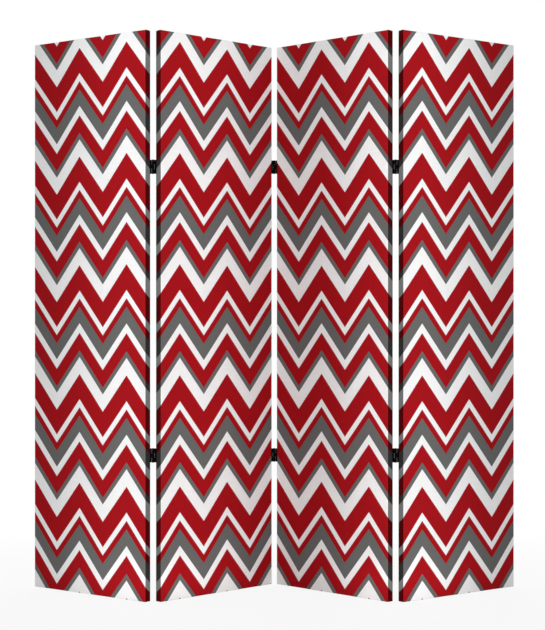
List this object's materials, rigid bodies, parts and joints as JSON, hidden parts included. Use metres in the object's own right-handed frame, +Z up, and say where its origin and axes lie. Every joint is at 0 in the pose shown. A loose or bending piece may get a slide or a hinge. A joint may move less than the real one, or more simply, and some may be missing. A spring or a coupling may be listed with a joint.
{
  "type": "folding screen",
  "caption": "Free-standing folding screen: canvas-covered panels with a printed chevron, hinged to stand in a zigzag as a room divider and to fold flat.",
  "frame": {"origin": "on the floor, under the middle of the standing screen", "axes": "+X to the right seen from the front, +Y away from the front, +Z up"},
  "size_m": [1.6176, 0.3812, 1.829],
  "materials": {
    "printed_canvas": "matt cotton canvas with a printed chevron in red, grey and white",
    "pine": "planed, bare",
    "beech": "pressed, bare",
    "hinge_black": "satin black enamel",
    "zinc_steel": "zinc plated",
    "staple_wire": "galvanised wire"
  },
  "bodies": {
    "panel_1": {"panel_1_left_stile": "pine", "panel_1_right_stile": "pine", "panel_1_top_rail": "pine", "panel_1_bottom_rail": "pine", "panel_1_cross_rails": "pine", "panel_1_corner_biscuits": "beech", "panel_1_front_canvas": "printed_canvas", "panel_1_back_canvas": "printed_canvas", "panel_1_staples": "staple_wire", "panel_1_hinge_brads": "zinc_steel", "fold_12_upper_left_leaf": "hinge_black", "fold_12_lower_left_leaf": "hinge_black"},
    "panel_2": {"panel_2_left_stile": "pine", "panel_2_right_stile": "pine", "panel_2_top_rail": "pine", "panel_2_bottom_rail": "pine", "panel_2_cross_rails": "pine", "panel_2_corner_biscuits": "beech", "panel_2_front_canvas": "printed_canvas", "panel_2_back_canvas": "printed_canvas", "panel_2_staples": "staple_wire", "panel_2_hinge_brads": "zinc_steel", "fold_12_upper_right_leaf": "hinge_black", "fold_12_upper_pin": "hinge_black", "fold_12_lower_right_leaf": "hinge_black", "fold_12_lower_pin": "hinge_black", "fold_23_upper_left_leaf": "hinge_black", "fold_23_upper_pin": "hinge_black", "fold_23_lower_left_leaf": "hinge_black", "fold_23_lower_pin": "hinge_black"},
    "panel_3": {"panel_3_left_stile": "pine", "panel_3_right_stile": "pine", "panel_3_top_rail": "pine", "panel_3_bottom_rail": "pine", "panel_3_cross_rails": "pine", "panel_3_corner_biscuits": "beech", "panel_3_front_canvas": "printed_canvas", "panel_3_back_canvas": "printed_canvas", "panel_3_staples": "staple_wire", "panel_3_hinge_brads": "zinc_steel", "fold_23_upper_right_leaf": "hinge_black", "fold_23_lower_right_leaf": "hinge_black", "fold_34_upper_left_leaf": "hinge_black", "fold_34_upper_pin": "hinge_black", "fold_34_lower_left_leaf": "hinge_black", "fold_34_lower_pin": "hinge_black"},
    "panel_4": {"panel_4_left_stile": "pine", "panel_4_right_stile": "pine", "panel_4_top_rail": "pine", "panel_4_bottom_rail": "pine", "panel_4_cross_rails": "pine", "panel_4_corner_biscuits": "beech", "panel_4_front_canvas": "printed_canvas", "panel_4_back_canvas": "printed_canvas", "panel_4_staples": "staple_wire", "panel_4_hinge_brads": "zinc_steel", "fold_34_upper_right_leaf": "hinge_black", "fold_34_lower_right_leaf": "hinge_black"}
  },
  "joints": [
    {"name": "fold_12", "type": "hinge", "parent": "panel_2", "child": "panel_1", "pos_m": [-0.38818, -0.17714, 0], "axis": [0, 0, -1], "range_deg": [-84.1, 95.9]},
    {"name": "fold_23", "type": "hinge", "parent": "panel_2", "child": "panel_3", "pos_m": [0, 0.18041, 0], "axis": [0, 0, -1], "range_deg": [-91.4, 88.6]},
    {"name": "fold_34", "type": "hinge", "parent": "panel_3", "child": "panel_4", "pos_m": [0.38818, -0.17714, 0], "axis": [0, 0, 1], "range_deg": [-84.1, 95.9]}
  ]
}
